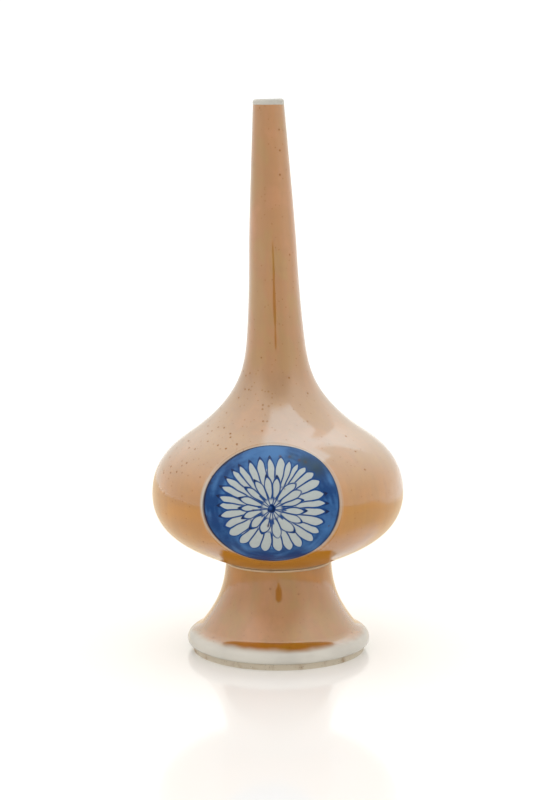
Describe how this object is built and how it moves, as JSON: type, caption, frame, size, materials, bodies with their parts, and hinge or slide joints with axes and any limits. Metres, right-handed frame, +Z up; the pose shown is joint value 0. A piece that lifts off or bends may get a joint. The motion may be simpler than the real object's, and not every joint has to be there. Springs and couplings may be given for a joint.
{
  "type": "rosewater sprinkler",
  "caption": "Footed porcelain sprinkler bottle with a flattened round bulb, a long thin tapering neck with a small mouth, and painted flower panels.",
  "frame": {"origin": "centre of the foot ring, on the surface that the sprinkler stands on", "axes": "+Z up; the front flower panel faces -Y; bulb and neck lean slightly towards -X"},
  "size_m": [0.0914, 0.0914, 0.2001],
  "materials": {
    "bare_clay": "unglazed porcelain biscuit, warm white",
    "slip": "fired luting slip",
    "brown_glaze": "glossy coffee-brown glaze",
    "white_glaze": "glossy greyish white glaze",
    "blue_painting": "cobalt blue painting under clear glaze",
    "dark_blue_line": "dark cobalt line under clear glaze"
  },
  "bodies": {
    "root": {"foot": "bare_clay", "lower_bowl": "bare_clay", "upper_bowl": "bare_clay", "neck": "bare_clay", "foot_slip": "slip", "belly_slip": "slip", "neck_slip": "slip", "foot_lining": "white_glaze", "bulb_lining": "white_glaze", "neck_lining": "white_glaze", "rim_glaze": "white_glaze", "lip_glaze": "white_glaze", "front_panel": "white_glaze", "back_panel": "white_glaze", "foot_glaze": "brown_glaze", "lower_bowl_glaze": "brown_glaze", "upper_bowl_glaze": "brown_glaze", "neck_glaze": "brown_glaze", "front_ground": "blue_painting", "back_ground": "blue_painting", "front_outline": "dark_blue_line", "back_outline": "dark_blue_line"}
  },
  "joints": []
}
